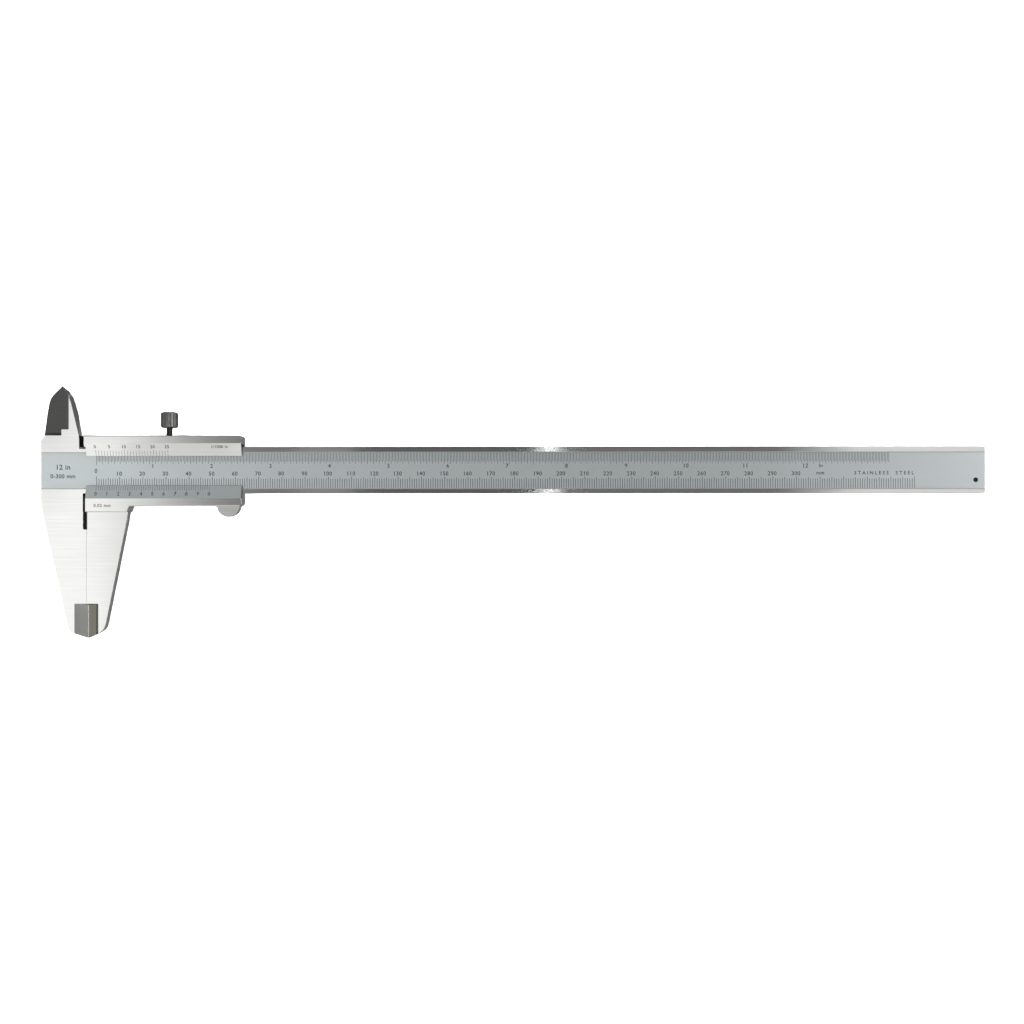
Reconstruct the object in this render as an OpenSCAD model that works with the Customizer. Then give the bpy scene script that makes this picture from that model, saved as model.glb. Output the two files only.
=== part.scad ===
// Vernier caliper, 0 to 300 mm, closed, lying on the back of its slider.
// X runs along the beam from the plane where the jaws meet, Y across it from the
// beam's centre line, and Z up from the rest plane, which is the slider's back.

/* [Beam] */
// Overall length of the beam
beam_len = 404; // [400:0.5:410]
// How far the beam's head reaches past the plane where the jaws meet
head_len = 19.8; // [19.8:0.1:21]
// Width of the beam
beam_w = 20; // [19.6:0.1:20.4]
// Thickness of the beam and of both outside jaws
beam_t = 3.8; // [3.6:0.1:4.2]
// Width of the ground rail along the beam's top edge
rail_top_w = 2.3; // [1.8:0.1:2.6]
// Width of the ground rail along the beam's bottom edge
rail_bottom_w = 1.9; // [1.6:0.1:2.4]
// Depth of the scale face below the rails
scale_depth = 0.15; // [0.1:0.05:0.3]
// Width of the depth rod's groove in the beam's back
groove_w = 4.8; // [4.8:0.1:5.6]
// Depth of the depth rod's groove
groove_depth = 1.95; // [1.95:0.05:2.3]

/* [Jaws] */
// Distance from the beam's centre line to the tips of the outside jaws
jaw_reach = 72.7; // [72.7:0.1:76]
// Distance from the beam's centre line to the tips of the inside jaws
nib_reach = 36.6; // [36.6:0.1:38]
// Distance from the jaw plane back to the inside jaws' knife edges
nib_offset = 11; // [10.9:0.05:11.1]
// Where the outside jaws start to thin towards their tips
thin_start = 57.5; // [50:0.5:60]
// Width of the thinned zone on each jaw
thin_w = 5.1; // [4:0.1:6]
// Depth of the thinning at the jaw plane, on the front
thin_depth = 2.6; // [2:0.05:2.6]
// Depth of the thinning at the jaw plane, on the back
thin_back_depth = 0.8; // [0.5:0.05:0.8]

/* [Slider] */
// Length of the slider
slider_len = 67.3; // [66:0.1:70]
// Top edge of the slider
slider_top = 14.85; // [14.5:0.05:15.5]
// Bottom edge of the slider
slider_bottom = 15.5; // [15.2:0.1:16.5]
// Top of the slider's front face above the rest plane
slider_front = 6.9; // [6.8:0.1:7.2]
// Thickness of the slider's back wall
back_t = 1.5; // [1.4:0.1:1.6]
// Radius of the thumb rest
thumb_r = 4.9; // [4:0.1:5.5]

/* [Clamp screw] */
// Diameter of the clamp screw's head
knob_d = 7.3; // [6:0.1:7.6]
// Height of the clamp screw's head
knob_h = 6.8; // [5:0.1:8]
// Diameter of the clamp screw's thread
thread_d = 2.5; // [2.3:0.1:2.6]
// Number of flutes around the clamp screw's head
knob_flutes = 10; // [8:1:14]

/* [Hidden] */

$fn = 48;
// Overshoot of a cutter past the face that it cuts
cut = 1;
// Running gap between the beam and the slider, in each direction
run = 0.05;

// Heights of the beam and of the split between the two inside jaws
beam_back = back_t + run;
beam_front = beam_back + beam_t;
beam_mid = beam_back + beam_t / 2;
split_gap = 0.1;
nib_back_top = beam_mid - split_gap / 2;
nib_front_base = beam_mid + split_gap / 2;
half_w = beam_w / 2;
beam_end = beam_len - head_len;
end_chamfer = 0.4;

// Relief slot between the outside jaws, under the beam
relief_left = 1.5;
relief_right = 0.3;
relief_bottom = 25.5;
// Relief notch where the beam's top edge meets the head
notch_left = 3.1;
notch_w = 2.6;
notch_depth = 0.8;

// Fixed outside jaw: its outer edge from the head down to the tip
fixed_jaw_edge = [
    [-head_len, -12.5], [-19.5, -15.8], [-18.6, -20.5], [-7.9, -68], [-6.6, -69.8]
];
// Movable outside jaw: its outer edge from the tip up to the slider
movable_jaw_edge = [
    [5.3, -70.2], [7.1, -69], [8.1, -67.4], [8.5, -66], [17.35, -22.3], [17.95, -18.4],
    [17.95, -half_w - run]
];
// Head above the beam, which is the front half of the thickness
head_outline = [
    [-head_len, half_w - cut], [-head_len, 13], [-18.2, 15], [-10.9, 15], [-10.9, 17.6],
    [-6, 17.6], [-3.3, 15], [-notch_left, 13], [-notch_left, half_w - cut]
];
// Inside jaws: the front one's outlines at its knife edge and at its flat face, then the rear
// one's outline at its back
nib_base = 17.5;
nib_foot = 15;
knife_t = 0.35;
nib_face_t = 0.3;
nib_slope = 1.45;
nib_root = 14.5;
front_nib_edge = [
    [-nib_offset, nib_base], [-nib_offset, nib_reach], [-8, 33.9], [-6.2, 31.4], [-4.95, 27.5],
    [-4, 24.1], [-2.5, nib_foot], [-5, nib_foot]
];
front_nib_face = [
    [-7.7, nib_base], [-7.7, 31.9], [-6.7, 29.2], [-5.75, 25.4], [-4.6, 20.6], [-3.3, nib_foot],
    [-5, nib_foot]
];
rear_nib_back = [
    [-12.8, nib_root], [-12.8, 35.7], [-15, 33.6], [-16.9, 31.3], [-17.5, 29.5],
    [-18.3, 25.3], [-19.8, nib_root]
];

// Slider channel, its front lips and the sloping vernier faces
channel_top = 11.1;
channel_bottom = half_w + run;
lip_base = beam_front + run;
lip_edge = 0.3;
lip_top_edge = 6;
lip_bottom_edge = 6.6;
face_top = 11.5;
face_bottom = 12.2;
edge_chamfer = 0.35;
corner_r = 1.3;
// Slider left end above the beam, which needs no measuring face
slider_left_top = 0.6;
// Block where the movable outside jaw joins the slider
jaw_block_bottom = 18;
jaw_block_end = 18;
jaw_block_top_end = 19;
// Strip of the front thinning that rises at 45 degrees on the movable jaw, and the end ramp's run
thin_steep = 1.4;
thin_ramp = 1.2;
// Bridge that carries the movable inside jaw
bridge_bottom = half_w + 0.15;
bridge_left = 19;
bridge_corner = 1;

// Thumb rest
thumb_x = 61.5;
thumb_y = -15.3;
thumb_back = back_t + 0.6;
thumb_front = slider_front - 0.5;
thumb_overlap = 1;
thumb_teeth = 15;
tooth_depth = 0.3;

// Gib, its set screws and the clamp
gib_t = 0.6;
gib_bottom = half_w + 0.03;
gib_top = gib_bottom + gib_t;
gib_inset = 2;
gib_screw_d = 2;
gib_screw_top = slider_top - 0.5;
gib_screw_x = [11, 57];
clamp_x = 35.6;
clamp_z = 4.2;
pad_bottom = gib_top + 0.32;
pad_h = 1.2;
screw_tip = pad_bottom + pad_h + 0.02;
knob_base = slider_top + 3.35;
knob_round = 0.9;
flute_r = 0.75;

// Cover in the slider's back, over a window that the depth rod's foot stands in
cover_t = 0.8;
cover_left = 10;
cover_right = 58;
cover_half_w = 8;
cover_corner_r = 1;
window_ledge = 4;
cover_screw_d = 1.6;
cover_screw_head_d = 2.7;
cover_screw_head_h = 0.4;
cover_screw_x = [cover_left + 2, cover_right - 2];
cover_screw_y = 6;
slot_w = 0.4;
slot_depth = 0.25;

// Depth rod and the rivets in its foot
rod_w = 4.4;
rod_back = back_t + 0.2;
rod_front = beam_back + groove_depth - 0.2;
rod_left = 8;
rod_foot_inset = 2;
rod_tip_step = 1.2;
rivet_d = 2;
rivet_head_d = 3;
rivet_head_h = 0.4;
rivet_x = [24, 44];
groove_left = 5;

// End stop on the beam's back, with the screw that comes through to the front
stop_left = 370.5;
stop_right = beam_end - 0.6;
stop_half_w = 7;
stop_t = 0.8;
stop_screw_x = beam_end - 4;
stop_screw_y = -4.3;
stop_screw_d = 2;
stop_screw_head_d = 3.4;
stop_screw_sink = 0.35;
stop_pin_d = 1.5;
stop_pin_h = 2.4;

// Extrudes a plan outline between two heights
module slab(z0, z1) {
    translate([0, 0, z0]) linear_extrude(z1 - z0) children();
}

// Extrudes a Y-Z section along X between two stations
module along_x(x0, x1) {
    translate([x0, 0, 0]) rotate([90, 0, 90]) linear_extrude(x1 - x0) children();
}

// A pillar along Y, from y0 to y1, centred on x and z
module pillar_y(x, z, y0, y1, d) {
    translate([x, y0, z]) rotate([-90, 0, 0]) cylinder(d = d, h = y1 - y0);
}

// A disc-headed fastener that stands up from the back at z = base
module back_fastener(x, y, base, depth, d, head_d, head_h) {
    translate([x, y, base]) {
        cylinder(d = d, h = depth);
        cylinder(d = head_d, h = head_h);
    }
}

// The screwdriver slot across a head whose outer face is at z = base
module back_slot(x, y, base, d) {
    translate([x - d, y - slot_w / 2, base - cut]) cube([2 * d, slot_w, cut + slot_depth]);
}

// The wedge that thins one jaw at its tip, with a sloping upper end; side is 1 on the right and
// -1 on the left, depth is at the jaw plane, and bend lists corners on the way to the far side
module tip_wedge(side, depth, bend = []) {
    far = side * thin_w;
    floor_z = beam_front - depth;
    intersection() {
        translate([0, -thin_start, 0]) rotate([90, 0, 0]) linear_extrude(jaw_reach)
            polygon(concat([[0, floor_z]], bend, [[far, beam_front], [far, beam_front + cut],
                [-side * cut, beam_front + cut], [-side * cut, floor_z]]));
        along_x(-thin_w - cut, thin_w + cut) polygon([[-jaw_reach - cut, beam_back],
            [-thin_start - thin_ramp, beam_back], [-thin_start, beam_front],
            [-thin_start, beam_front + cut], [-jaw_reach - cut, beam_front + cut]]);
    }
}

// The same wedge on the back
module back_tip_wedge(side) {
    translate([0, 0, 2 * beam_mid]) mirror([0, 0, 1]) tip_wedge(side, thin_back_depth);
}

module relief_notch() {
    translate([-notch_left, half_w - notch_depth]) square([notch_w, notch_depth + cut]);
}

module beam_plan() {
    difference() {
        polygon(concat(
            [[-head_len, half_w], [beam_end - end_chamfer, half_w], [beam_end, half_w - end_chamfer],
                [beam_end, end_chamfer - half_w], [beam_end - end_chamfer, -half_w], [0, -half_w],
                [0, -jaw_reach]],
            [for (i = [len(fixed_jaw_edge) - 1:-1:0]) fixed_jaw_edge[i]]
        ));
        translate([-relief_left, relief_left / 2 - relief_bottom])
            square([relief_left + cut, relief_bottom - relief_left / 2 - half_w]);
        translate([-relief_left / 2, relief_left / 2 - relief_bottom]) circle(d = relief_left);
        translate([-relief_left / 2, -relief_bottom])
            square([relief_left / 2 + cut, relief_left]);
        relief_notch();
    }
}

// The fixed inside jaw: a knife edge at its rear face and a smaller front face
module front_nib() {
    hull() {
        slab(nib_front_base, nib_front_base + knife_t) polygon(front_nib_edge);
        slab(beam_front - nib_face_t, beam_front) polygon(front_nib_face);
    }
}

// The movable inside jaw: a knife edge beside the split, and a front that slopes away from it
module rear_nib() {
    hull() {
        translate([-nib_offset, nib_reach, nib_back_top]) rotate([90, 0, 0])
            linear_extrude(nib_reach - nib_root) polygon([[0, 0], [0, -knife_t], [-knife_t, -knife_t]]);
        slab(beam_back, nib_back_top - nib_slope) polygon(rear_nib_back);
    }
}

module beam() {
    color("gainsboro") difference() {
        union() {
            slab(beam_back, beam_front) beam_plan();
            slab(nib_front_base, beam_front) difference() {
                polygon(head_outline);
                relief_notch();
            }
            front_nib();
        }
        // the recessed scale face, from end to end
        translate([-head_len - cut, rail_bottom_w - half_w, beam_front - scale_depth])
            cube([beam_len + 2 * cut, beam_w - rail_top_w - rail_bottom_w, cut]);
        // the depth rod's groove, with the cutter's round end
        slab(beam_back - cut, beam_back + groove_depth) {
            translate([groove_left, -groove_w / 2]) square([beam_len, groove_w]);
            translate([groove_left, 0]) circle(d = groove_w);
        }
        tip_wedge(-1, thin_depth);
        back_tip_wedge(-1);
        translate([stop_screw_x, stop_screw_y, beam_back - cut])
            cylinder(d = stop_screw_d, h = beam_t + 2 * cut);
        translate([stop_screw_x, -stop_screw_y, beam_back - cut])
            cylinder(d = stop_pin_d, h = stop_pin_h + cut);
    }
}

module end_stop() {
    color("silver") difference() {
        slab(beam_back - stop_t, beam_back) translate([stop_left, -stop_half_w])
            square([stop_right - stop_left, 2 * stop_half_w]);
        translate([stop_screw_x, stop_screw_y, 0]) cylinder(d = stop_screw_d, h = beam_back + cut);
        translate([stop_screw_x, stop_screw_y, beam_back - stop_t - cut])
            cylinder(d = stop_screw_head_d, h = cut + stop_t / 2);
        translate([stop_screw_x, -stop_screw_y, 0]) cylinder(d = stop_pin_d, h = beam_back + cut);
    }
}

module end_stop_screw() {
    base = beam_back - stop_t;
    color("dimgray") difference() {
        back_fastener(stop_screw_x, stop_screw_y, base, beam_front - scale_depth - stop_screw_sink - base,
            stop_screw_d, stop_screw_head_d, stop_t / 2);
        back_slot(stop_screw_x, stop_screw_y, base, stop_screw_head_d);
    }
}

module end_stop_pin() {
    color("silver") translate([stop_screw_x, -stop_screw_y, beam_back - stop_t])
        cylinder(d = stop_pin_d, h = stop_t + stop_pin_h);
}

// A rectangle whose right-hand corners are rounded
module right_rounded(left, right, bottom, top) {
    translate([left, bottom]) square([right - left - corner_r, top - bottom]);
    translate([left, bottom + corner_r]) square([right - left, top - bottom - 2 * corner_r]);
    for (y = [bottom + corner_r, top - corner_r])
        translate([right - corner_r, y]) circle(r = corner_r);
}

// Plan of the slider's block, a little longer on the left above the beam
module slider_plan() {
    right_rounded(0, slider_len, -slider_bottom, slider_top);
    translate([-slider_left_top, half_w])
        square([slider_left_top + cut, slider_top - half_w]);
}

// Section of the slider: back wall, side walls and the lips with the sloping vernier faces
module slider_section() {
    polygon([[slider_top, 0], [slider_top, slider_front - edge_chamfer],
        [slider_top - edge_chamfer, slider_front], [face_top, slider_front],
        [lip_top_edge, lip_base + lip_edge], [lip_top_edge, lip_base], [channel_top, lip_base],
        [channel_top, back_t], [-channel_bottom, back_t], [-channel_bottom, lip_base],
        [-lip_bottom_edge, lip_base], [-lip_bottom_edge, lip_base + lip_edge],
        [-face_bottom, slider_front], [edge_chamfer - slider_bottom, slider_front],
        [-slider_bottom, slider_front - edge_chamfer], [-slider_bottom, 0]]);
}

// Plan of the cover and of its pocket, with round corners
module cover_plan() {
    length = cover_right - cover_left;
    translate([cover_left + cover_corner_r, -cover_half_w])
        square([length - 2 * cover_corner_r, 2 * cover_half_w]);
    translate([cover_left, cover_corner_r - cover_half_w])
        square([length, 2 * (cover_half_w - cover_corner_r)]);
    for (x = [cover_left + cover_corner_r, cover_right - cover_corner_r],
        y = [cover_corner_r - cover_half_w, cover_half_w - cover_corner_r])
        translate([x, y]) circle(r = cover_corner_r);
}

// The movable outside jaw, and the thicker block with a sloping end that joins it to the slider
module movable_jaw() {
    slab(beam_back, beam_front) difference() {
        polygon(concat([[0, -channel_bottom], [0, -jaw_reach]], movable_jaw_edge));
        translate([0, relief_right - relief_bottom])
            square([relief_right, relief_bottom - relief_right - half_w]);
        translate([0, relief_right - relief_bottom]) circle(r = relief_right);
    }
    intersection() {
        slab(0, slider_front) polygon([[0, -face_bottom], [0, -jaw_block_bottom],
            [jaw_block_end, -jaw_block_bottom], [jaw_block_top_end, -slider_bottom],
            [jaw_block_top_end, -face_bottom]]);
        along_x(0, jaw_block_top_end) polygon([[-face_bottom, 0], [-jaw_block_bottom, 0],
            [-jaw_block_bottom, slider_front - edge_chamfer],
            [edge_chamfer - jaw_block_bottom, slider_front], [-face_bottom, slider_front]]);
    }
}

// The half-round thumb rest with its serrated rim
module thumb_rest() {
    slab(thumb_back, thumb_front) difference() {
        translate([thumb_x, thumb_y]) circle(r = thumb_r);
        translate([thumb_x - thumb_r - cut, thumb_overlap - slider_bottom]) square(2 * (thumb_r + cut));
        for (i = [0:thumb_teeth])
            translate([thumb_x, thumb_y]) rotate(180 + 180 * i / thumb_teeth)
                translate([thumb_r, 0]) rotate(45) square(tooth_depth * sqrt(2), center = true);
    }
}

module slider() {
    color("lightgray") difference() {
        union() {
            intersection() {
                slab(0, slider_front) slider_plan();
                along_x(-slider_left_top, slider_len) slider_section();
            }
            movable_jaw();
            thumb_rest();
            // the bridge to the movable inside jaw, behind the fixed head
            slab(beam_back, nib_back_top) polygon([[cut, bridge_bottom], [cut, slider_top],
                [-nib_offset, slider_top], [-nib_offset, nib_foot], [-bridge_left, nib_foot],
                [-bridge_left, bridge_bottom + bridge_corner],
                [bridge_corner - bridge_left, bridge_bottom]]);
            rear_nib();
        }
        tip_wedge(1, thin_depth, [[thin_w - thin_steep, beam_front - thin_steep]]);
        back_tip_wedge(1);
        slab(-cut, cover_t) cover_plan();
        slab(0, back_t + cut) translate([cover_left + window_ledge, window_ledge - cover_half_w])
            square([cover_right - cover_left - 2 * window_ledge, 2 * (cover_half_w - window_ledge)]);
        pillar_y(clamp_x, clamp_z, channel_top - cut, slider_top + cut, thread_d + 2 * run);
        for (x = gib_screw_x)
            pillar_y(x, beam_mid, channel_top - cut, slider_top + cut, gib_screw_d);
        for (x = cover_screw_x, y = [-cover_screw_y, cover_screw_y])
            translate([x, y, 0]) cylinder(d = cover_screw_d, h = back_t + cut);
    }
}

module back_cover() {
    color("silver") difference() {
        slab(0, cover_t) cover_plan();
        for (x = cover_screw_x, y = [-cover_screw_y, cover_screw_y])
            translate([x, y, 0]) {
                translate([0, 0, -cut]) cylinder(d = cover_screw_d, h = cover_t + 2 * cut);
                translate([0, 0, -cut]) cylinder(d = cover_screw_head_d, h = cut + cover_screw_head_h);
            }
        for (x = rivet_x)
            translate([x, 0, 0]) {
                translate([0, 0, -cut]) cylinder(d = rivet_d, h = cover_t + 2 * cut);
                translate([0, 0, -cut]) cylinder(d = rivet_head_d, h = cut + rivet_head_h);
            }
    }
}

module cover_screw(x, y) {
    color("dimgray") difference() {
        back_fastener(x, y, 0, back_t, cover_screw_d, cover_screw_head_d, cover_screw_head_h);
        back_slot(x, y, 0, cover_screw_head_d);
    }
}

module depth_rod() {
    tip_y = rod_w / 2 - rod_tip_step;
    foot_left = cover_left + window_ledge + rod_foot_inset;
    foot_right = cover_right - window_ledge - rod_foot_inset;
    color("silver") difference() {
        union() {
            slab(rod_back, rod_front) polygon([[rod_left, -rod_w / 2], [beam_end, -rod_w / 2],
                [beam_end, tip_y], [beam_end - 2 * rod_tip_step, rod_w / 2], [rod_left, rod_w / 2]]);
            slab(cover_t, rod_front) translate([foot_left, -rod_w / 2])
                square([foot_right - foot_left, rod_w]);
        }
        for (x = rivet_x)
            translate([x, 0, 0]) cylinder(d = rivet_d, h = rod_front + cut);
    }
}

module depth_rod_rivet(x) {
    color("gray") back_fastener(x, 0, 0, rod_front, rivet_d, rivet_head_d, rivet_head_h);
}

module gib() {
    color("peru") slab(beam_back + run, beam_front - run) translate([gib_inset, gib_bottom])
        square([slider_len - 2 * gib_inset, gib_t]);
}

module gib_screw(x) {
    color("dimgray") difference() {
        pillar_y(x, beam_mid, gib_top, gib_screw_top, gib_screw_d);
        translate([x - gib_screw_d, gib_screw_top - slot_depth, beam_mid - slot_w / 2])
            cube([2 * gib_screw_d, slot_depth + cut, slot_w]);
    }
}

module clamp_pad() {
    color("goldenrod") pillar_y(clamp_x, clamp_z, pad_bottom, pad_bottom + pad_h, thread_d);
}

// Half profile of the clamp screw: thread, then the head with rounded corners
module clamp_screw_profile() {
    knob_r = knob_d / 2;
    knob_top = knob_base + knob_h;
    polygon(concat(
        [[0, screw_tip], [thread_d / 2, screw_tip], [thread_d / 2, knob_base]],
        [for (a = [-90:22.5:0])
            [knob_r - knob_round + knob_round * cos(a), knob_base + knob_round + knob_round * sin(a)]],
        [for (a = [0:22.5:90])
            [knob_r - knob_round + knob_round * cos(a), knob_top - knob_round + knob_round * sin(a)]],
        [[0, knob_top]]
    ));
}

module clamp_screw() {
    color("gray") translate([clamp_x, 0, clamp_z]) rotate([-90, 0, 0]) difference() {
        rotate_extrude() clamp_screw_profile();
        for (i = [0:knob_flutes - 1])
            rotate(360 * i / knob_flutes) translate([knob_d / 2 + flute_r / 2, 0, knob_base - cut])
                cylinder(r = flute_r, h = knob_h + 2 * cut, $fn = 24);
    }
}

beam();
end_stop();
end_stop_screw();
end_stop_pin();
slider();
back_cover();
cover_screw(cover_screw_x[0], cover_screw_y);  // cover_screw_1
cover_screw(cover_screw_x[1], cover_screw_y);  // cover_screw_2
cover_screw(cover_screw_x[0], -cover_screw_y);  // cover_screw_3
cover_screw(cover_screw_x[1], -cover_screw_y);  // cover_screw_4
depth_rod();
depth_rod_rivet(rivet_x[0]);  // depth_rod_rivet_1
depth_rod_rivet(rivet_x[1]);  // depth_rod_rivet_2
gib();
gib_screw(gib_screw_x[0]);  // gib_screw_1
gib_screw(gib_screw_x[1]);  // gib_screw_2
clamp_pad();
clamp_screw();
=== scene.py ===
"""The looks of a 300 mm vernier caliper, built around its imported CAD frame.

Lengths in the frame are metres; MM turns a millimetre value into metres. X runs along the beam from
the plane where the jaws meet, Y across it from the beam's centre line, and Z up from the floor.
"""

import math

import bmesh
import bpy
from mathutils import Matrix, Vector


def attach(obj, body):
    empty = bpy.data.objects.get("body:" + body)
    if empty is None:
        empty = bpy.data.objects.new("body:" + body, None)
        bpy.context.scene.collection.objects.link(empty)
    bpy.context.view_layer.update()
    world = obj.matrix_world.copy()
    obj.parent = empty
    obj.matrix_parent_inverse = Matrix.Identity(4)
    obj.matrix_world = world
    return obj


MM = 0.001
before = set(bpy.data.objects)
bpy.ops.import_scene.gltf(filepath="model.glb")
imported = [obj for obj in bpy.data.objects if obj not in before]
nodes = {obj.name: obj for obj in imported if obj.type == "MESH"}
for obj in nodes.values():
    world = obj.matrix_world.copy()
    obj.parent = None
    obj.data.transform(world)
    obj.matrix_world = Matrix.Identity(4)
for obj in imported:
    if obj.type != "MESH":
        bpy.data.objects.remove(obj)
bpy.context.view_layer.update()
scene = bpy.context.scene
scene.view_settings.view_transform = "Standard"

# ---------------------------------------------------------------- camera

# millimetres: the beam's top, and where the camera stands over it
BEAM_TOP = 5.35
CAMERA_ABOVE_BEAM = 470
CAMERA_X = 191
CAMERA_Y = -18
CAMERA_LEAN = math.radians(0.95)
FIELD_OF_VIEW = math.radians(49.95)


def make_camera():
    """Looks straight down on the caliper, leaning a little to the left."""
    camera = bpy.data.objects.new("camera", bpy.data.cameras.new("camera"))
    camera.data.angle = FIELD_OF_VIEW
    camera.data.clip_start = 10 * MM
    camera.data.clip_end = 100
    camera.location = Vector((CAMERA_X, CAMERA_Y, BEAM_TOP + CAMERA_ABOVE_BEAM)) * MM
    camera.rotation_euler = (0, CAMERA_LEAN, 0)
    scene.collection.objects.link(camera)
    scene.camera = camera


# ---------------------------------------------------------------- light

LAMP_HEIGHT = 900
# how bright the room is above and below the horizon, and how bright the main lamp
ROOM = 0.14
BELOW = 0.235
KEY = 1.25
# the main lamp and the right lamp fade out in strips of this width, as bright as these say
STRIP = 30
LEFT_STRIPS = [1.05, 0.84, 0.6, 0.4, 0.25, 0.15, 0.1, 0.09]
RIGHT_STRIPS = [0.28, 0.5, 0.83]
# the lamps at the front and the rear face the middle of the caliper
MIDDLE_X = 190
WALL_DISTANCE = 1600
WALL_HEIGHT = 900
WALL_LEAN = 60
# the two fills that only light the floor and the paint
FILL_DISTANCE = 1400
FILL_HEIGHT = 1200
FILL_LEAN = math.radians(50)
FILL_RADIANCE = 26
FLOOR_SIZE = 3.2
FLOOR_COLOUR = (0.9, 0.9, 0.9, 1)


def make_lamp(name, x, y, radiance, shines_on_steel=True):
    """A soft flat lamp above the x and y ranges given in millimetres, as bright as radiance says.

    One that doesn't shine on steel lights the floor and the paint, and isn't mirrored in the metal.
    """
    width = (x[1] - x[0]) * MM
    depth = (y[1] - y[0]) * MM
    data = bpy.data.lights.new(name, "AREA")
    data.shape = "RECTANGLE"
    data.size = width
    data.size_y = depth
    data.energy = radiance * math.pi * width * depth
    lamp = bpy.data.objects.new(name, data)
    lamp.location = Vector(((x[0] + x[1]) / 2, (y[0] + y[1]) / 2, LAMP_HEIGHT)) * MM
    lamp.visible_camera = False
    lamp.visible_glossy = shines_on_steel
    scene.collection.objects.link(lamp)
    return lamp


def make_fading_lamps(name, start, y, radiances):
    """A row of strips side by side along X, which gives a lamp a soft edge."""
    for i, radiance in enumerate(radiances):
        left = start + i * STRIP
        make_lamp(f"{name}_{i}", (left, left + STRIP), y, radiance)


def make_fill(side):
    """A large lamp low at one end, which whitens the floor without reaching into narrow slots."""
    fill = make_lamp(f"fill_{side}", (0, 900), (-800, 800), FILL_RADIANCE, shines_on_steel=False)
    fill.location = Vector((MIDDLE_X + side * FILL_DISTANCE, 0, FILL_HEIGHT)) * MM
    fill.rotation_euler = (0, side * FILL_LEAN, 0)


def make_wall(name, x, y, z, lean, turn, size, radiance):
    """A wide soft lamp at one side; lean tilts it up from facing down, and turn swings it round Z."""
    width, depth = size
    wall = make_lamp(name, (-width / 2, width / 2), (-depth / 2, depth / 2), radiance)
    wall.location = Vector((x, y, z)) * MM
    wall.rotation_euler = (math.radians(lean), 0, math.radians(turn))


def make_world():
    """A dim grey room, a little brighter below the horizon, which the camera sees as white."""
    scene.world = bpy.data.worlds.new("studio")
    scene.world.use_nodes = True
    tree = scene.world.node_tree
    place = tree.nodes.new("ShaderNodeTexCoord")
    axes = tree.nodes.new("ShaderNodeSeparateXYZ")
    below = tree.nodes.new("ShaderNodeMath")
    below.operation = "LESS_THAN"
    below.inputs[1].default_value = 0
    room = tree.nodes.new("ShaderNodeMix")
    room.data_type = "RGBA"
    room.inputs["A"].default_value = (ROOM, ROOM, ROOM, 1)
    room.inputs["B"].default_value = (BELOW, BELOW, BELOW, 1)
    path = tree.nodes.new("ShaderNodeLightPath")
    shade = tree.nodes.new("ShaderNodeMix")
    shade.data_type = "RGBA"
    shade.inputs["B"].default_value = (1, 1, 1, 1)
    tree.links.new(place.outputs["Generated"], axes.inputs["Vector"])
    tree.links.new(axes.outputs["Z"], below.inputs[0])
    tree.links.new(below.outputs["Value"], room.inputs["Factor"])
    tree.links.new(room.outputs["Result"], shade.inputs["A"])
    tree.links.new(path.outputs["Is Camera Ray"], shade.inputs["Factor"])
    tree.links.new(shade.outputs["Result"], tree.nodes["Background"].inputs["Color"])


def make_lights():
    """Lamps laid out so that the steel, which mirrors them, fades along its length."""
    make_world()
    make_lamp("key_left", (-620, -340), (-330, 20), KEY)
    make_lamp("key_left_back", (-620, -390), (20, 260), 0.92)
    make_lamp("key_left_back_edge", (-390, -340), (20, 260), 1.12)
    make_fading_lamps("key_left_edge", -340, (-230, 260), LEFT_STRIPS)
    make_lamp("key_front", (-620, -340), (-560, -330), 1.1)
    make_lamp("key_front_right", (-340, -200), (-560, -230), 0.79)
    make_lamp("key_front_end", (-200, 60), (-560, -230), 0.9)
    make_fading_lamps("key_right_edge", 515, (-100, 300), RIGHT_STRIPS)
    make_lamp("key_right", (605, 1000), (-100, 300), RIGHT_STRIPS[-1])
    make_lamp("key_right_far", (1000, 1700), (-500, 80), 8)
    make_lamp("key_right_front", (420, 1000), (-400, -100), 0.19)
    make_lamp("wall_left", (-2400, -1200), (-700, -100), 0.2)
    make_lamp("ceiling_gap_left", (-100, -30), (-100, 200), 0.19)
    make_lamp("ceiling_gap_middle", (225, 515), (-100, 300), 0.06)
    make_lamp("ceiling_gap_right", (375, 420), (-100, 200), 0.25)
    make_lamp("ceiling_spot", (211, 217), (-70, 110), 7)
    make_lamp("back", (-500, 300), (330, 620), 0.37)
    make_wall("front", MIDDLE_X, -WALL_DISTANCE, WALL_HEIGHT, WALL_LEAN, 0, (4000, 1200), 0.7)
    make_wall("front_low", MIDDLE_X, -WALL_DISTANCE, 50, 90, 0, (4000, 600), 0.8)
    make_wall("rear", MIDDLE_X, WALL_DISTANCE, WALL_HEIGHT, WALL_LEAN, 180, (4000, 1200), 0.7)
    make_wall("left", -2200, 0, 560, 75, -90, (1400, 500), 0.1)
    make_wall("right", 2600, 0, 560, 75, 90, (1400, 500), 0.1)
    make_fill(-1)
    make_fill(1)


def make_floor():
    """A plain white floor, which the steel doesn't mirror."""
    bpy.ops.mesh.primitive_plane_add(size=FLOOR_SIZE)
    floor = bpy.context.object
    floor.name = "floor"
    floor.visible_glossy = False
    material = bpy.data.materials.new("floor")
    material.use_nodes = True
    shader = material.node_tree.nodes["Principled BSDF"]
    shader.inputs["Base Color"].default_value = FLOOR_COLOUR
    shader.inputs["Roughness"].default_value = 1
    shader.inputs["Specular IOR Level"].default_value = 0
    floor.data.materials.append(material)


# ---------------------------------------------------------------- materials

NOISE_ROUGHNESS = 0.6
# nearly all of a noise lies between these two values
NOISE_SPREAD = (0.3, 0.7)
# how far grinding lines stretch a highlight
STRETCH = 0.8


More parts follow.
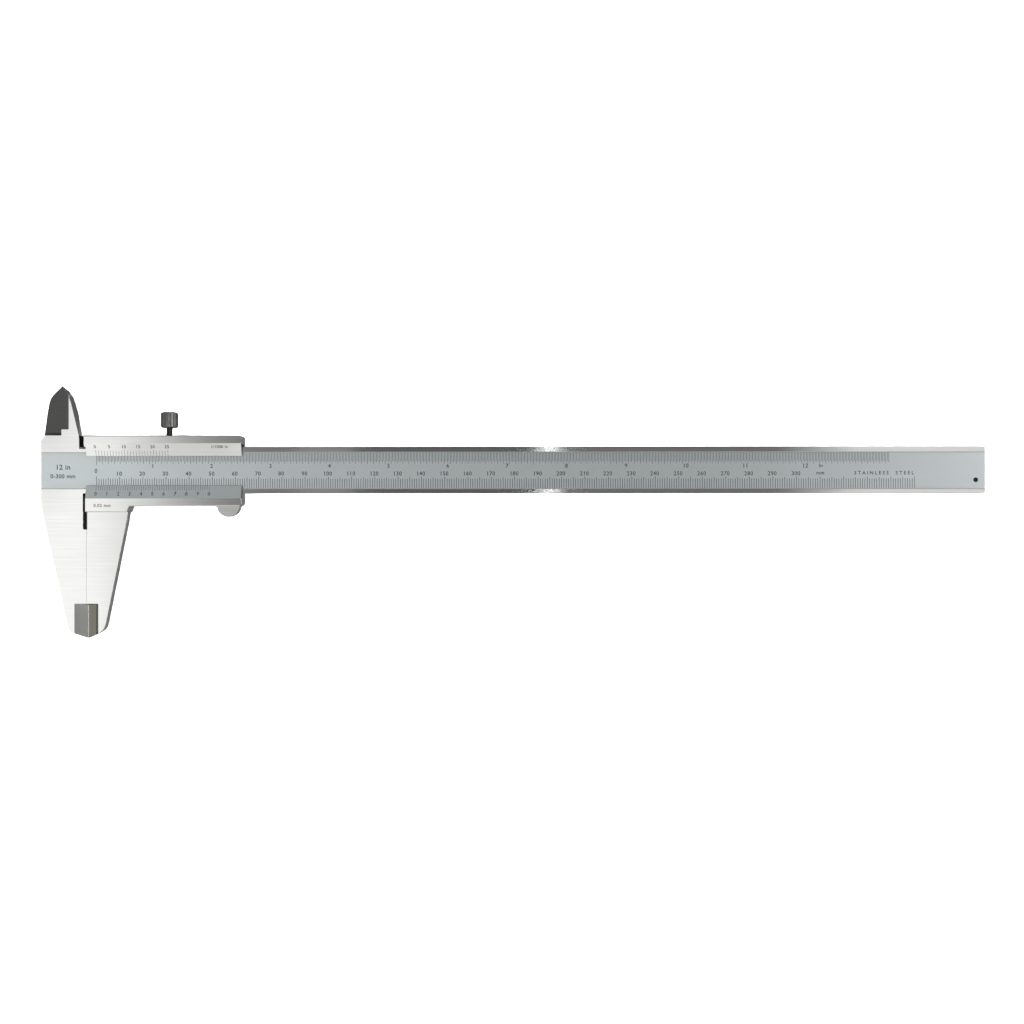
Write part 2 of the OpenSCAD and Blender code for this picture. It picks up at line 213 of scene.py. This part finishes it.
class Recipe:
    """A material being built: node() adds a shader node and fills its inputs."""

    def __init__(self, name):
        self.material = bpy.data.materials.new(name)
        self.material.use_nodes = True
        self.tree = self.material.node_tree
        self.shader = self.tree.nodes["Principled BSDF"]
        self.place = self.node("ShaderNodeTexCoord").outputs["Object"]

    def put(self, made, inputs):
        for name, value in inputs.items():
            if isinstance(value, bpy.types.NodeSocket):
                self.tree.links.new(value, made.inputs[name])
            else:
                made.inputs[name].default_value = value

    def node(self, kind, inputs=None, **settings):
        made = self.tree.nodes.new(kind)
        for name, value in settings.items():
            setattr(made, name, value)
        self.put(made, inputs or {})
        return made

    def noise(self, scale, detail=3):
        """Noise from 0 to 1. scale gives its repeats a metre along X, Y and Z."""
        stretched = self.node("ShaderNodeVectorMath", {0: self.place, 1: scale}, operation="MULTIPLY")
        where = stretched.outputs["Vector"]
        settings = {"Vector": where, "Scale": 1, "Detail": detail, "Roughness": NOISE_ROUGHNESS}
        return self.node("ShaderNodeTexNoise", settings).outputs["Fac"]

    def math(self, operation, a, b):
        return self.node("ShaderNodeMath", {0: a, 1: b}, operation=operation).outputs["Value"]

    def ramp(self, value, low, high):
        """Turns a noise into a number from low to high."""
        start, end = NOISE_SPREAD
        settings = {"Value": value, "From Min": start, "From Max": end, "To Min": low, "To Max": high}
        return self.node("ShaderNodeMapRange", settings).outputs["Result"]

    def mix(self, factor, a, b):
        """Mixes two colours."""
        made = self.node("ShaderNodeMix", {"Factor": factor, "A": a, "B": b}, data_type="RGBA")
        return made.outputs["Result"]

    def mix_numbers(self, factor, a, b):
        """Mixes two numbers, with no node where they are the same."""
        if a == b:
            return a
        return self.node("ShaderNodeMix", {0: factor, 2: a, 3: b}, data_type="FLOAT").outputs[0]

    def bump(self, height, depth):
        """Turns a height from 0 to 1 into a surface normal; depth is in millimetres."""
        settings = {"Height": height, "Distance": depth * MM, "Strength": 1.0}
        return self.node("ShaderNodeBump", settings).outputs["Normal"]

    def inside(self, axis, low, high):
        """1 where the place along an axis lies between two millimetre values."""
        along = self.node("ShaderNodeSeparateXYZ", {"Vector": self.place}).outputs[axis]
        above = self.math("GREATER_THAN", along, low * MM)
        below = self.math("LESS_THAN", along, high * MM)
        return self.math("MULTIPLY", above, below)

    def grain_across(self):
        """Stretches highlights across the grinding lines, which run along X."""
        self.shader.inputs["Anisotropic"].default_value = STRETCH
        across = self.node(
            "ShaderNodeVectorTransform",
            {"Vector": (0, 1, 0)},
            vector_type="VECTOR",
            convert_from="OBJECT",
            convert_to="WORLD",
        )
        self.tree.links.new(across.outputs["Vector"], self.shader.inputs["Tangent"])


def tint(colour, amount):
    """A colour made lighter or darker by a factor, with the opacity that a socket needs."""
    return (*[min(1, c * amount) for c in colour], 1)


GROUND_COLOUR = (0.69, 0.69, 0.675)
SATIN_COLOUR = (0.60, 0.645, 0.65)
# darker tone for the scale face's edges, and painted shade for the line along the vernier lip
FACE_EDGE_AND_LIP_SHADE_COLOUR = (0.44, 0.46, 0.46)
TIP_FACE_COLOUR = (0.60, 0.585, 0.48)
# painted shade on the steep side strip of the outside jaw's tip
TIP_SIDE_SHADE_COLOUR = (0.17, 0.165, 0.15)
# painted shade on the fixed inside jaw's flank and on the movable inside jaw
NIB_FLANK_SHADE_COLOUR = (0.33, 0.33, 0.32)
REAR_NIB_SHADE_COLOUR = (0.54, 0.54, 0.53)
# painted shade at the ends of the slider's lips
LIP_END_SHADE_COLOUR = (0.11, 0.11, 0.105)
# painted shade: near black for the narrow gaps and the inside jaw's foot
GAP_SHADE_COLOUR = (0.009, 0.009, 0.009)
KNOB_COLOUR = (0.26, 0.26, 0.255)
# painted shade: the clamp screw's thread under its head
THREAD_SHADE_COLOUR = (0.06, 0.06, 0.058)
SCREW_COLOUR = (0.30, 0.30, 0.31)
PLATE_COLOUR = (0.62, 0.62, 0.61)
ROD_COLOUR = (0.66, 0.66, 0.65)
# the end stop screw is near black all over
NEAR_BLACK_COLOUR = (0.025, 0.025, 0.027)
BRONZE_COLOUR = (0.60, 0.36, 0.17)
BRASS_COLOUR = (0.75, 0.56, 0.25)
INK_COLOUR = (0.012, 0.013, 0.014)
THIN_INK_COLOUR = (0.03, 0.031, 0.032)

# The places where the steel looks different, each a box given by its ranges along X, Y and Z in
# millimetres: first the recessed scale face with the part of it between its two darker edges, then
# the sloping vernier face with the line along its lip, painted dark as the shade under the lip.
SCALE_ZONE = ((-30, 400), (-8.12, 7.72), (5.1, 5.25))
SCALE_MIDDLE = (-7.75, 7.3)
VERNIER_ZONE = ((-5, 80), (-12.2, -6.5), (5.6, 6.9))
LIP_SHADE_LINE = (-6.85, -6.5)
# the fixed inside jaw's sloping flank, painted darker as shade, its foot at the slider, painted near
# black as shade, and the movable one behind it, painted darker as shade
NIB_FLANK = ((-11.1, -7.75), (17.4, 36.7), (3.4, 5.2))
NIB_FOOT = ((-3.3, -2.3), (14.5, 15.6), (3.4, 4.2))
REAR_NIB = ((-20, -10.9), (15.2, 36.7), (1.5, 3.45))
# the thinned tip of the movable outside jaw: its face, and its steep side strip, which is painted dark
# as shade
TIP_FACE = ((0.02, 3.72), (-72.8, -57.6), (2.7, 4.1))
TIP_SIDE = ((3.68, 5.08), (-72.8, -57.6), (3.9, 5.3))
# the serrated rest for the thumb, and the ends of the slider's two lips over the beam, painted dark as
# the shade where they meet it
THUMB_REST = ((55, 68), (-21, -15.6), (2, 6.5))
LIP_ENDS = ((67.22, 67.4), (-12.2, 11.5), (5.3, 7.0))
# narrow gaps, painted near black as the shade in them
RELIEF_SLOT = ((-1.6, 0.8), (-26, -9.9), (1.6, 5.25))
BEHIND_HEAD = ((-20, 0.5), (9, 16.3), (1.4, 3.45))
JAW_ROOT = ((-0.1, 0.02), (-18.1, -9.9), (1.6, 6.85))
# the clamp screw's thread ends here, along Y
THREAD_END = 18.3


def ground_look(recipe, colour=GROUND_COLOUR, roughness=0.11):
    """Surface-ground steel with fine lines along X."""
    lines = recipe.noise((25, 1500, 1500))
    fine = recipe.noise((90, 9000, 9000), detail=2)
    smudge = recipe.noise((55, 90, 90), detail=4)
    shade = recipe.mix(recipe.ramp(lines, 0, 1), tint(colour, 0.95), tint(colour, 1.03))
    return {
        "Base Color": recipe.mix(recipe.ramp(smudge, 0, 0.35), shade, tint(colour, 0.93)),
        "Roughness": recipe.math(
            "ADD",
            recipe.ramp(smudge, roughness, roughness + 0.03),
            recipe.ramp(fine, -0.015, 0.02),
        ),
        "Height": recipe.math(
            "ADD",
            recipe.math("MULTIPLY", lines, 0.6),
            recipe.math("MULTIPLY", fine, 0.2),
        ),
        "Metallic": 1.0,
    }


def satin_look(recipe, metallic=0.95, roughness=0.42):
    """Matt chrome on a bead-blasted face, whose tiny dimples scatter part of the light."""
    grain = recipe.noise((6500, 6500, 6500), detail=2)
    cloud = recipe.noise((35, 60, 60), detail=3)
    shade = recipe.mix(recipe.ramp(grain, 0, 1), tint(SATIN_COLOUR, 0.94), tint(SATIN_COLOUR, 1.05))
    return {
        "Base Color": recipe.mix(recipe.ramp(cloud, 0, 0.5), shade, tint(SATIN_COLOUR, 0.93)),
        "Roughness": recipe.ramp(cloud, roughness - 0.02, roughness + 0.04),
        "Height": grain,
        "Metallic": metallic,
    }


def tumbled_look(recipe):
    """Ground steel left a little rough, so it also scatters some light."""
    return {**ground_look(recipe, roughness=0.3), "Metallic": 0.98}


def blend_looks(recipe, factor, first, second):
    """One look where factor is 0 and the other where it is 1."""
    return {
        "Base Color": recipe.mix(factor, first["Base Color"], second["Base Color"]),
        "Roughness": recipe.mix_numbers(factor, first["Roughness"], second["Roughness"]),
        "Height": recipe.mix_numbers(factor, first["Height"], second["Height"]),
        "Metallic": recipe.mix_numbers(factor, first["Metallic"], second["Metallic"]),
    }


def wear(recipe, look, depth=0.003):
    """Puts a look on the recipe's shader, with its height depth millimetres deep."""
    colour_and_gloss = {name: look[name] for name in ("Base Color", "Roughness", "Metallic")}
    recipe.put(recipe.shader, {**colour_and_gloss, "Normal": recipe.bump(look["Height"], depth)})
    return recipe.material


def recess_look(first):
    """Painted shade at the bottom of a narrow gap: near black and dull, with the grain of the look
    around it.
    """
    return {**first, "Base Color": tint(GAP_SHADE_COLOUR, 1), "Roughness": 0.8, "Metallic": 0.0}


def zone_mask(recipe, zone):
    """1 inside a zone."""
    x, y, z = zone
    across = recipe.math("MULTIPLY", recipe.inside("X", *x), recipe.inside("Y", *y))
    return recipe.math("MULTIPLY", across, recipe.inside("Z", *z))


def grind_zone(recipe, look, zone, colour):
    """A look that turns into ground steel of another colour inside a zone; on the outside jaw's tip
    face that is a tone of its own, and everywhere else it is painted shade.
    """
    return blend_looks(recipe, zone_mask(recipe, zone), look, ground_look(recipe, colour))


def make_beam_steel():
    """Ground steel with a matt chrome scale face between its rails, darker along its edges, and painted
    shade on the fixed inside jaw's flank, at its foot and in the relief slot.
    """
    recipe = Recipe("beam_steel")
    recipe.grain_across()
    face = zone_mask(recipe, SCALE_ZONE)
    middle = recipe.inside("Y", *SCALE_MIDDLE)
    satin = satin_look(recipe)
    satin["Base Color"] = recipe.mix(middle, tint(FACE_EDGE_AND_LIP_SHADE_COLOUR, 1), satin["Base Color"])
    look = blend_looks(recipe, face, ground_look(recipe), satin)
    look = grind_zone(recipe, look, NIB_FLANK, NIB_FLANK_SHADE_COLOUR)
    nib_foot = zone_mask(recipe, NIB_FOOT)
    dark = recipe.math("MAXIMUM", nib_foot, zone_mask(recipe, RELIEF_SLOT))
    return wear(recipe, blend_looks(recipe, dark, look, recess_look(look)))


def make_slider_steel():
    """Ground steel, matt on the lower vernier face, with painted shade along its lip, on the outside
    jaw's steep tip strip, on the movable inside jaw, at the ends of the lips and in the gaps beside the
    fixed jaws.
    """
    recipe = Recipe("slider_steel")
    recipe.grain_across()
    vernier = zone_mask(recipe, VERNIER_ZONE)
    satin = satin_look(recipe, metallic=1.0)
    lip_shade_line = recipe.inside("Y", *LIP_SHADE_LINE)
    satin["Base Color"] = recipe.mix(lip_shade_line, satin["Base Color"], tint(FACE_EDGE_AND_LIP_SHADE_COLOUR, 1))
    look = blend_looks(recipe, vernier, ground_look(recipe), satin)
    look = grind_zone(recipe, look, TIP_FACE, TIP_FACE_COLOUR)
    look = grind_zone(recipe, look, TIP_SIDE, TIP_SIDE_SHADE_COLOUR)
    thumb_rest = zone_mask(recipe, THUMB_REST)
    look = blend_looks(recipe, thumb_rest, look, tumbled_look(recipe))
    look = grind_zone(recipe, look, REAR_NIB, REAR_NIB_SHADE_COLOUR)
    look = grind_zone(recipe, look, LIP_ENDS, LIP_END_SHADE_COLOUR)
    behind_head = zone_mask(recipe, BEHIND_HEAD)
    dark = recipe.math("MAXIMUM", behind_head, zone_mask(recipe, JAW_ROOT))
    dark = recipe.math("MAXIMUM", dark, zone_mask(recipe, RELIEF_SLOT))
    return wear(recipe, blend_looks(recipe, dark, look, recess_look(look)))


def make_plain_steel(name, colour, roughness):
    """Ground steel of another shade, for the plates and the rod."""
    recipe = Recipe(name)
    return wear(recipe, ground_look(recipe, colour, roughness))


def turned_look(recipe, colour, roughness):
    """Metal with fine turning marks round Y and a patchy, slightly dulled colour."""
    patches = recipe.noise((500, 500, 500), detail=4)
    return {
        "Base Color": recipe.mix(recipe.ramp(patches, 0, 1), tint(colour, 0.8), tint(colour, 1.1)),
        "Roughness": recipe.ramp(patches, roughness - 0.04, roughness + 0.08),
        "Height": recipe.noise((300, 7000, 300), detail=2),
        "Metallic": 1.0,
    }


def make_turned_metal(name, colour, roughness):
    recipe = Recipe(name)
    return wear(recipe, turned_look(recipe, colour, roughness))


def make_knob_steel():
    """The clamp screw's turned head, and its thread below, painted darker as the shade under the head.
    """
    recipe = Recipe("knob_steel")
    below_head = recipe.inside("Y", 0, THREAD_END)
    head = turned_look(recipe, KNOB_COLOUR, roughness=0.38)
    thread = turned_look(recipe, THREAD_SHADE_COLOUR, roughness=0.45)
    return wear(recipe, blend_looks(recipe, below_head, head, thread))


def make_ink():
    """Black filling paint, worn a little thin in places."""
    recipe = Recipe("graduation_ink")
    patches = recipe.noise((700, 700, 700), detail=3)
    worn = recipe.ramp(patches, 0, 1)
    look = {
        "Base Color": recipe.mix(worn, tint(INK_COLOUR, 1), tint(THIN_INK_COLOUR, 1)),
        "Roughness": recipe.ramp(patches, 0.45, 0.65),
        "Height": patches,
        "Metallic": 0.0,
    }
    return wear(recipe, look, depth=0.002)


def finish_nodes():
    """Gives each CAD node its material."""
    screw = make_turned_metal("screw_steel", SCREW_COLOUR, roughness=0.32)
    plate = make_plain_steel("plate_steel", PLATE_COLOUR, roughness=0.24)
    materials = {
        "beam": make_beam_steel(),
        "slider": make_slider_steel(),
        "back_cover": plate,
        "depth_rod_rivet_1": plate,
        "depth_rod_rivet_2": plate,
        "end_stop": plate,
        "end_stop_pin": plate,
        # the end stop screw is near black all over
        "end_stop_screw": make_turned_metal("blackened_steel", NEAR_BLACK_COLOUR, roughness=0.35),
        "depth_rod": make_plain_steel("rod_steel", ROD_COLOUR, roughness=0.2),
        "gib": make_turned_metal("bronze", BRONZE_COLOUR, roughness=0.35),
        "clamp_pad": make_turned_metal("brass", BRASS_COLOUR, roughness=0.3),
        "clamp_screw": make_knob_steel(),
    }
    for name, node in nodes.items():
        node.data.materials.clear()
        node.data.materials.append(materials.get(name, screw))


# how wide the broken edges are, and from which angle on an edge counts as sharp: first for the two
# large pieces, then for the small ones
LARGE_PIECES = ("beam", "slider")
LARGE_EDGE = 0.1
LARGE_ANGLE = 9.7
SMALL_EDGE = 0.06
SMALL_ANGLE = 28
# faces that turn less than this are one face, and points nearer than this are one point
FLAT_ANGLE = 0.3
WELD_DISTANCE = 0.0001


def soften_edges():
    """Breaks the sharp edges of each CAD node, as a stone or a tumbler would, and smooths the rest."""
    for name, node in nodes.items():
        large = name in LARGE_PIECES
        weld = node.modifiers.new("weld", "WELD")
        weld.merge_threshold = WELD_DISTANCE * MM
        flat = node.modifiers.new("flat_faces", "DECIMATE")
        flat.decimate_type = "DISSOLVE"
        flat.angle_limit = math.radians(FLAT_ANGLE)
        edge = node.modifiers.new("broken_edges", "BEVEL")
        edge.width = (LARGE_EDGE if large else SMALL_EDGE) * MM
        edge.segments = 2
        edge.limit_method = "ANGLE"
        edge.angle_limit = math.radians(LARGE_ANGLE if large else SMALL_ANGLE)
        edge.use_clamp_overlap = not large
        edge.miter_outer = "MITER_ARC"
        normals = node.modifiers.new("face_normals", "WEIGHTED_NORMAL")
        normals.mode = "FACE_AREA_WITH_ANGLE"
        normals.keep_sharp = False


# ---------------------------------------------------------------- graduations and numerals

INCH = 25.4
# ink stands this much proud of its face, and reaches this far into it
INK_PROUD = 0.01
INK_SUNK = 0.02
# height of a numeral in the built-in font, as a share of the font's size
CAP_SHARE = 0.73
# how much is added all round a letter's strokes, as a share of its height
BOLDER = 0.03
# points of the ink nearer than this are one point
INK_WELD = 0.0005
# the faces that carry ink: a face rises by slope for each millimetre of Y past its own y and z
SCALE_FACE = {"y": 0, "z": 5.2, "slope": 0}
UPPER_FACE = {"y": 6.0, "z": 5.7, "slope": 1.2 / 5.5}
LOWER_FACE = {"y": -6.6, "z": 5.7, "slope": -1.2 / 5.6}
SLIDER_FRONT_FACE = {"y": 0, "z": 6.9, "slope": 0}

# the X of all four zero lines
ZERO = 4.4
# The Y where a scale's lines end, for each step: of the steps that a line's number divides by, the
# last one counts. Only line 0 is on the step FIRST.
FIRST = 1000
METRIC_ENDS = ((1, -3.7), (5, -3.2), (10, -2.9), (FIRST, -2.6))
INCH_ENDS = ((1, 3.8), (2, 3.3), (4, 2.8), (FIRST, 2.2))
METRIC_VERNIER_ENDS = ((1, -8.6), (5, -9.0))
INCH_VERNIER_ENDS = ((1, 8.2), (5, 8.6))
# the Y where they start, at the edge of their own face
METRIC_FOOT = -7.7
INCH_FOOT = 7.4
METRIC_VERNIER_FOOT = -6.75
INCH_VERNIER_FOOT = 6.15
# how wide the lines are
METRIC_LINE = 0.23
INCH_LINE = 0.2
VERNIER_LINE = 0.14
# the numerals' Y, their height, and how far they stand to the left of their lines
METRIC_ROW = -1.5
METRIC_ZERO_ROW = -0.3
INCH_ROW = 1.8
METRIC_VERNIER_ROW = -10.2
INCH_VERNIER_ROW = 10.0
NUMERAL = 1.75
UNIT = 1.6
METRIC_VERNIER_NUMERAL = 1.6
INCH_VERNIER_NUMERAL = 1.4
NUMERAL_BACK = 0.3
INCH_NUMERAL_BACK = 1.1
# the scales: how many lines they have, the last numeral, and how many lines there are to an inch
METRIC_LINES = 351
METRIC_LAST = 300
INCH_LINES = 535
INCH_LAST = 12
LINES_TO_AN_INCH = 40
# the verniers: how much of the scale they span, and how many divisions they have
METRIC_SPAN = 49
METRIC_DIVISIONS = 50
INCH_SPAN = 1.225
INCH_DIVISIONS = 25


def onto(face, x, y):
    """The matrix that lays flat work, drawn round the origin, on a face at x and y in millimetres."""
    angle = math.atan(face["slope"])
    z = face["z"] + (y - face["y"]) * face["slope"]
    return Matrix.Translation(Vector((x, y, z)) * MM) @ Matrix.Rotation(angle, 4, "X")


def line_end(ends, i):
    """The Y where line i of a scale ends."""
    return [y for step, y in ends if i % step == 0][-1]


def add_line(work, face, x, y_from, y_to, width):
    """A closed bar of ink from one y to the other."""
    length = abs(y_to - y_from) / math.cos(math.atan(face["slope"]))
    height = INK_PROUD + INK_SUNK
    size = Matrix.Diagonal((width * MM, length * MM, height * MM, 1))
    lift = Matrix.Translation((0, 0, (INK_PROUD - height / 2) * MM))
    bmesh.ops.create_cube(work, size=1, matrix=onto(face, x, (y_from + y_to) / 2) @ lift @ size)


def add_text(work, face, x, y, words, cap_height, spacing=1.08):
    """Words centred at x and y, as closed letters of ink."""
    curve = bpy.data.curves.new("words", "FONT")
    curve.body = words
    curve.align_x = "CENTER"
    curve.align_y = "CENTER"
    curve.size = cap_height * MM / CAP_SHARE
    curve.resolution_u = 3
    curve.space_character = spacing
    curve.offset = BOLDER * cap_height * MM
    curve.extrude = (INK_PROUD + INK_SUNK) / 2 * MM
    text = bpy.data.objects.new("words", curve)
    scene.collection.objects.link(text)
    bpy.context.view_layer.update()
    mesh = bpy.data.meshes.new_from_object(text)
    middle = (min(v.co.y for v in mesh.vertices) + max(v.co.y for v in mesh.vertices)) / 2
    lift = Matrix.Translation((0, -middle, (INK_PROUD - INK_SUNK) / 2 * MM))
    mesh.transform(onto(face, x, y) @ lift)
    work.from_mesh(mesh)
    bpy.data.objects.remove(text)
    bpy.data.curves.remove(curve)
    bpy.data.meshes.remove(mesh)


def finish_ink(work, name, body):
    """Makes one piece of all the ink drawn so far, riding on a body."""
    bmesh.ops.remove_doubles(work, verts=work.verts, dist=INK_WELD * MM)
    mesh = bpy.data.meshes.new(name)
    work.to_mesh(mesh)
    work.free()
    mesh.materials.append(INK)
    piece = bpy.data.objects.new(name, mesh)
    scene.collection.objects.link(piece)
    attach(piece, body)


def make_metric_scale():
    """Millimetre lines from 0 to 350 along the bottom of the scale face, numbered each 10 mm to 300."""
    work = bmesh.new()
    for i in range(METRIC_LINES):
        add_line(work, SCALE_FACE, ZERO + i, METRIC_FOOT, line_end(METRIC_ENDS, i), METRIC_LINE)
    for i in range(0, METRIC_LAST + 1, 10):
        row = METRIC_ZERO_ROW if i == 0 else METRIC_ROW
        add_text(work, SCALE_FACE, ZERO - NUMERAL_BACK + i, row, str(i), NUMERAL)
    add_text(work, SCALE_FACE, 314.5, METRIC_ROW, "mm", UNIT)
    finish_ink(work, "metric_scale", "beam")


def make_inch_scale():
    """Lines each 0.025 in from 0 to 13.35 in along the top of the scale face, numbered to 12."""
    work = bmesh.new()
    for i in range(INCH_LINES):
        x = ZERO + i * INCH / LINES_TO_AN_INCH
        add_line(work, SCALE_FACE, x, line_end(INCH_ENDS, i), INCH_FOOT, INCH_LINE)
    for i in range(1, INCH_LAST + 1):
        add_text(work, SCALE_FACE, ZERO + i * INCH - INCH_NUMERAL_BACK, INCH_ROW, str(i), NUMERAL)
    add_text(work, SCALE_FACE, 314.7, INCH_ROW, "in", UNIT)
    finish_ink(work, "inch_scale", "beam")


def make_beam_words():
    """Plain words on the scale face: the measuring range at the head, and the steel at the far end."""
    work = bmesh.new()
    add_text(work, SCALE_FACE, -10.2, 1.3, "12 in", 2.2)
    add_text(work, SCALE_FACE, -10.2, -2.6, "0-300 mm", 1.8)
    add_text(work, SCALE_FACE, 341.5, -1.3, "STAINLESS  STEEL", 1.5, spacing=1.6)
    finish_ink(work, "beam_words", "beam")


def make_metric_vernier():
    """Fifty divisions over 49 mm on the lower vernier face, numbered 0 to 9 and 0 again."""
    work = bmesh.new()
    for i in range(METRIC_DIVISIONS + 1):
        x = ZERO + i * METRIC_SPAN / METRIC_DIVISIONS
        end = line_end(METRIC_VERNIER_ENDS, i)
        add_line(work, LOWER_FACE, x, end, METRIC_VERNIER_FOOT, VERNIER_LINE)
    for i in range(0, METRIC_DIVISIONS + 1, 5):
        x = ZERO + i * METRIC_SPAN / METRIC_DIVISIONS
        digit = str(i // 5 % 10)
        add_text(work, LOWER_FACE, x, METRIC_VERNIER_ROW, digit, METRIC_VERNIER_NUMERAL)
    add_text(work, SLIDER_FRONT_FACE, 7.4, -15.2, "0.02 mm", 1.35, spacing=1.15)
    finish_ink(work, "metric_vernier", "slider")


def make_inch_vernier():
    """Twenty-five divisions over 1.225 in on the upper vernier face, numbered each five."""
    work = bmesh.new()
    for i in range(INCH_DIVISIONS + 1):
        x = ZERO + i * INCH_SPAN * INCH / INCH_DIVISIONS
        end = line_end(INCH_VERNIER_ENDS, i)
        add_line(work, UPPER_FACE, x, INCH_VERNIER_FOOT, end, VERNIER_LINE)
    for i in range(0, INCH_DIVISIONS + 1, 5):
        x = ZERO - NUMERAL_BACK + i * INCH_SPAN * INCH / INCH_DIVISIONS
        add_text(work, UPPER_FACE, x, INCH_VERNIER_ROW, str(i), INCH_VERNIER_NUMERAL)
    add_text(work, UPPER_FACE, 57.8, INCH_VERNIER_ROW, "1/1000 in", 1.3)
    finish_ink(work, "inch_vernier", "slider")


# ---------------------------------------------------------------- build

make_camera()
make_lights()
make_floor()
finish_nodes()
soften_edges()
INK = make_ink()
make_metric_scale()
make_inch_scale()
make_beam_words()
make_metric_vernier()
make_inch_vernier()
